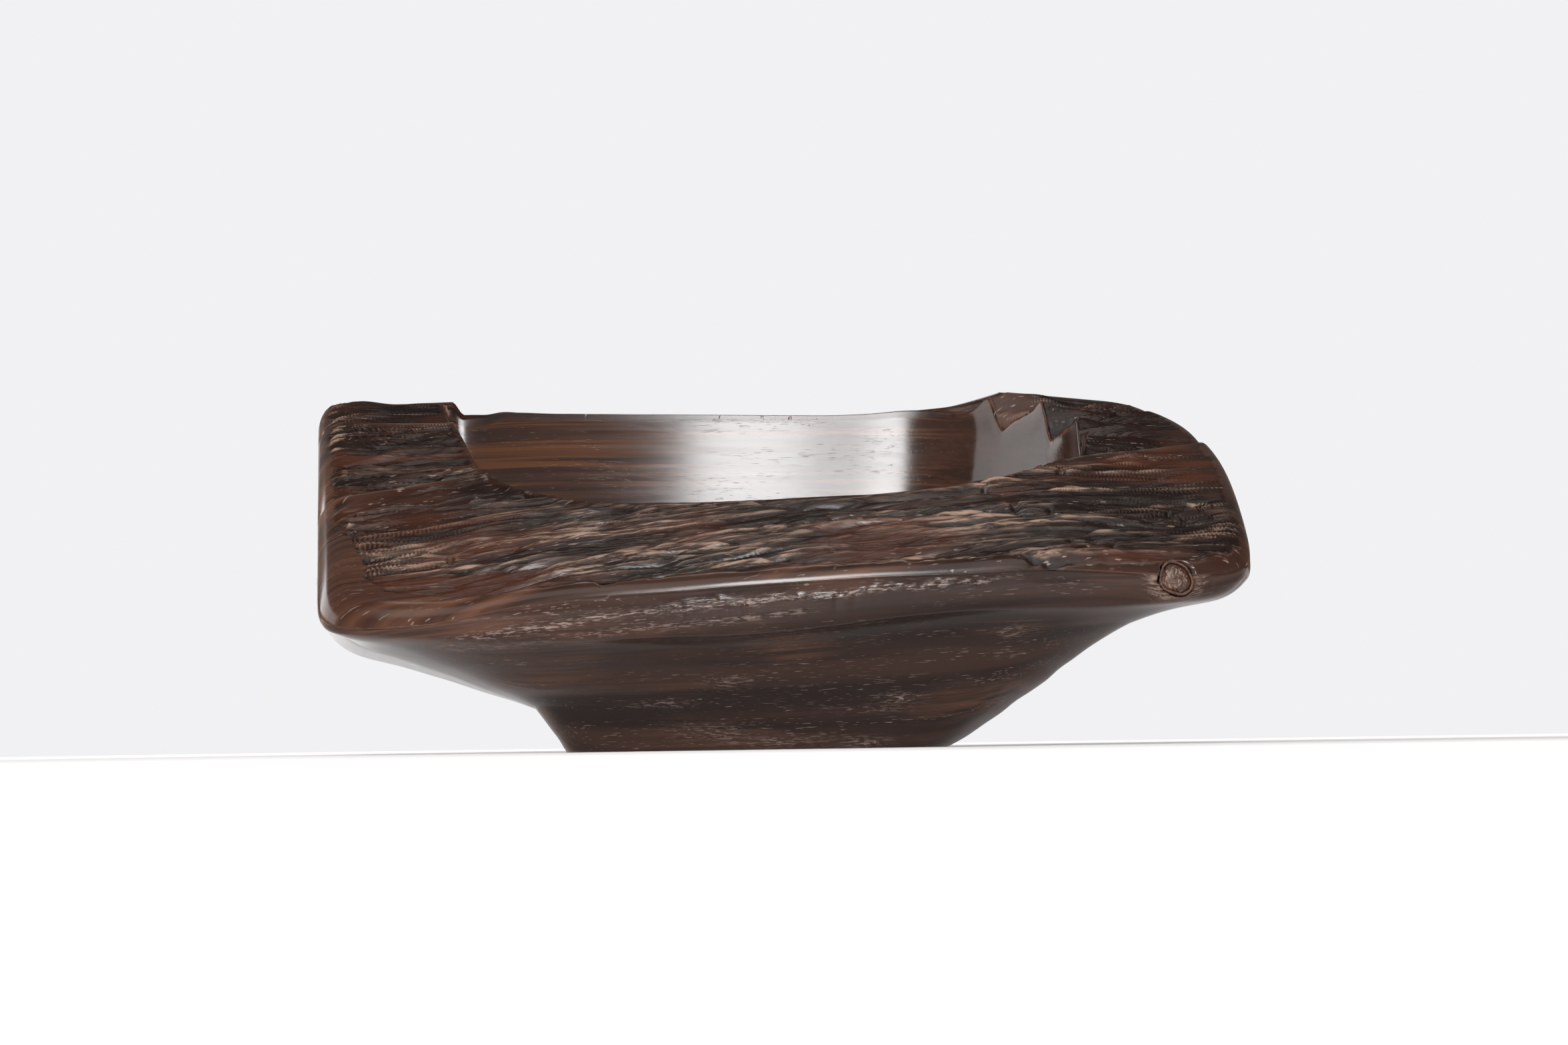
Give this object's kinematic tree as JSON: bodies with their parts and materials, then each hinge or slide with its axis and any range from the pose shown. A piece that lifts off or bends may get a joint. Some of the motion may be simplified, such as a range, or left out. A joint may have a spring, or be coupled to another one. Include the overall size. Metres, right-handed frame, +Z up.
{
  "type": "carved wooden bowl",
  "caption": "Free-standing bowl carved from one block of dark timber, with a slanted weathered top, rounded ends, a deep smooth hollow and a smaller flat foot.",
  "frame": {"origin": "middle of the bounding box seen from above, on the plane that the foot stands on", "axes": "+X along the length of the bowl towards its right end, +Y from the low front ridge to the high back, +Z up"},
  "size_m": [0.6578, 0.334, 0.2788],
  "materials": {
    "dark_timber": "oiled and polished on the cut faces, weathered and fibrous on the slanted top",
    "bark": "rough, matt",
    "knot_wood": "rough end grain, lightly polished"
  },
  "bodies": {
    "root": {"bowl_body": "dark_timber", "bark_ring": "bark", "branch_knot": "knot_wood"}
  },
  "joints": []
}
